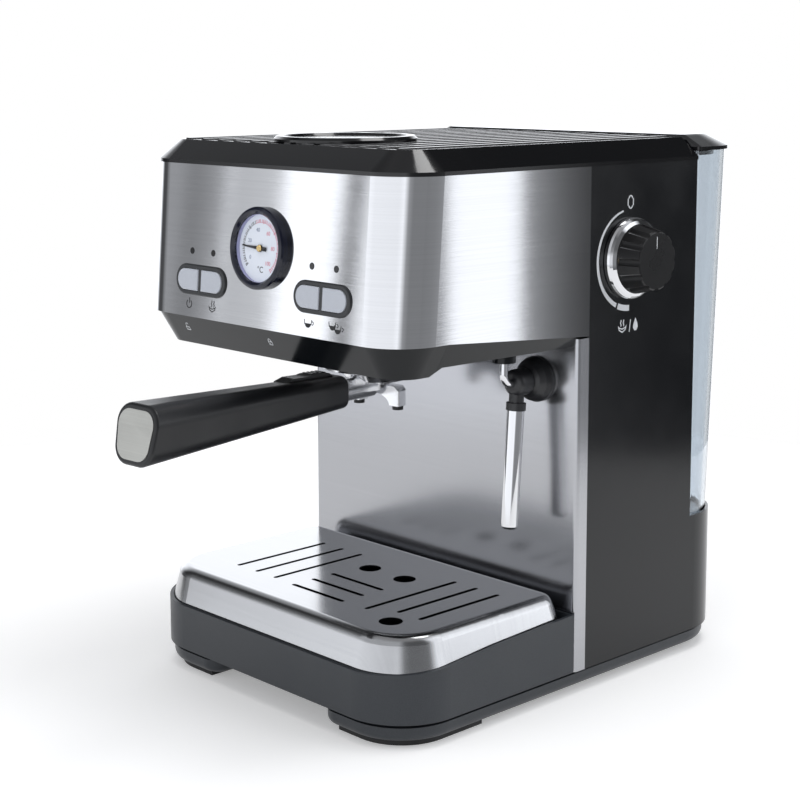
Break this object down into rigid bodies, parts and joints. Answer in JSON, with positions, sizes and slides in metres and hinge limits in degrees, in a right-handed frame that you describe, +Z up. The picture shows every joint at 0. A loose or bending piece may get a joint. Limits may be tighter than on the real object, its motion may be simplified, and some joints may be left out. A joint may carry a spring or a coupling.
{
  "type": "pump espresso machine",
  "caption": "Free-standing pump espresso machine: black body, brushed steel head with gauge and buttons, turning filter holder, steam wand, slide-out drip tray and lift-out water tank.",
  "frame": {"origin": "on the counter plane, under the middle of the whole machine's bounding box", "axes": "+Z up from the counter, -Y out of the front where the handle points, +X to the side with the steam knob"},
  "size_m": [0.2292, 0.3728, 0.298],
  "materials": {
    "black_plastic": "satin black moulded plastic",
    "charcoal_plastic": "satin charcoal moulded plastic",
    "gloss_black": "gloss black moulded plastic",
    "frame_grey": "satin dark grey plastic",
    "button_grey": "satin silver-grey plastic",
    "lamp_lens": "dark clear lens, unlit",
    "steel": "brushed stainless sheet",
    "zinc_steel": "zinc-plated steel",
    "chrome": "bright chrome plate",
    "cast_aluminium": "polished die-cast alloy",
    "brass": "turned brass",
    "black_rubber": "black rubber",
    "hose": "milky silicone hose",
    "tank_clear": "clear smoke-grey plastic",
    "white_plastic": "off-white plastic",
    "coil_metal": "black painted laminations",
    "circuit_board": "green circuit board",
    "dial_white": "white painted dial",
    "needle_black": "black painted hand",
    "gauge_clear": "clear flat glass"
  },
  "bodies": {
    "housing": {"base_plate": "charcoal_plastic", "rubber_feet": "black_rubber", "base_screws": "zinc_steel", "column_shell": "black_plastic", "rear_base": "black_plastic", "cord_gland": "black_rubber", "tank_seal": "black_rubber", "splash_plate": "steel", "head_band": "steel", "head_chin": "black_plastic", "top_lid": "gloss_black", "cup_disc": "gloss_black", "panel_frame": "black_plastic", "button_board": "circuit_board", "gauge_case": "gloss_black", "gauge_dial": "dial_white", "gauge_glass": "gauge_clear", "left_button_frame": "frame_grey", "right_button_frame": "frame_grey", "indicator_lights": "lamp_lens", "group_head": "cast_aluminium", "group_gasket": "black_rubber", "shower_screen": "steel", "boiler_base": "cast_aluminium", "boiler_cover": "cast_aluminium", "boiler_bolts": "zinc_steel", "heating_element": "steel", "steam_valve": "brass", "steam_pipe": "chrome", "steam_hose": "hose", "pressure_hose": "hose", "inlet_hose": "hose", "pump_body": "white_plastic", "pump_coil": "coil_metal", "pump_bracket": "zinc_steel", "control_board": "circuit_board", "wand_dome": "charcoal_plastic"},
    "steam_wand": {"wand_elbow": "charcoal_plastic", "wand_tube": "chrome", "wand_tip": "chrome"},
    "steam_knob": {"knob_cap": "black_plastic", "knob_skirt": "chrome", "valve_stem": "brass"},
    "portafilter": {"filter_holder": "chrome", "filter_basket": "steel", "twin_spout": "cast_aluminium", "spout_tips": "black_rubber", "handle_grip": "black_plastic", "handle_end_cap": "cast_aluminium"},
    "clip": {"basket_clip": "black_plastic"},
    "drip_tray": {"tray_housing": "charcoal_plastic"},
    "drip_cover": {"tray_grid": "steel"},
    "water_tank": {"tank_shell": "tank_clear", "tank_valve": "white_plastic"},
    "water_lid": {"tank_lid": "gloss_black"},
    "power_key": {"power_button": "button_grey"},
    "steam_key": {"steam_button": "button_grey"},
    "single_cup_key": {"single_cup_button": "button_grey"},
    "double_cup_key": {"double_cup_button": "button_grey"},
    "gauge_hand": {"gauge_needle": "needle_black"}
  },
  "joints": [
    {"name": "holder_turn", "type": "hinge", "parent": "housing", "child": "portafilter", "pos_m": [-0.00895, -0.01439, 0.1877], "axis": [0, 0, 1], "range_deg": [-40, 0]},
    {"name": "clip_lift", "type": "hinge", "parent": "portafilter", "child": "clip", "pos_m": [-0.0088, -0.05361, 0.17072], "axis": [-0.9976, -0.0698, 0], "range_deg": [0, 12]},
    {"name": "knob_turn", "type": "hinge", "parent": "housing", "child": "steam_knob", "pos_m": [0.09605, 0.07161, 0.2325], "axis": [1, 0, 0], "range_deg": [0, 180]},
    {"name": "wand_swing", "type": "hinge", "parent": "housing", "child": "steam_wand", "pos_m": [0.06705, 0.01541, 0.1685], "axis": [0, -1, 0], "range_deg": [-20, 75]},
    {"name": "tray_slide", "type": "slide", "parent": "housing", "child": "drip_tray", "axis": [0, -1, 0], "range_m": [0, 0.14]},
    {"name": "cover_lift", "type": "slide", "parent": "drip_tray", "child": "drip_cover", "axis": [0, 0, 1], "range_m": [0, 0.03]},
    {"name": "tank_lift", "type": "slide", "parent": "housing", "child": "water_tank", "axis": [0, 0, 1], "range_m": [0, 0.22]},
    {"name": "tank_lid_turn", "type": "hinge", "parent": "water_tank", "child": "water_lid", "pos_m": [-0.00895, 0.18381, 0.2848], "axis": [-1, 0, 0], "range_deg": [0, 85]},
    {"name": "gauge_hand_turn", "type": "hinge", "parent": "housing", "child": "gauge_hand", "pos_m": [-0.00795, -0.09706, 0.24237], "axis": [0, -0.9973, 0.0732], "range_deg": [-237, 63], "stiffness_Nm_per_rad": 0.0005},
    {"name": "power_press", "type": "slide", "parent": "housing", "child": "power_key", "axis": [0, 0.9973, -0.0732], "range_m": [0, 0.0015], "stiffness_N_per_m": 300},
    {"name": "steam_press", "type": "slide", "parent": "housing", "child": "steam_key", "axis": [0, 0.9973, -0.0732], "range_m": [0, 0.0015], "stiffness_N_per_m": 300},
    {"name": "single_cup_press", "type": "slide", "parent": "housing", "child": "single_cup_key", "axis": [0, 0.9973, -0.0732], "range_m": [0, 0.0015], "stiffness_N_per_m": 300},
    {"name": "double_cup_press", "type": "slide", "parent": "housing", "child": "double_cup_key", "axis": [0, 0.9973, -0.0732], "range_m": [0, 0.0015], "stiffness_N_per_m": 300}
  ]
}
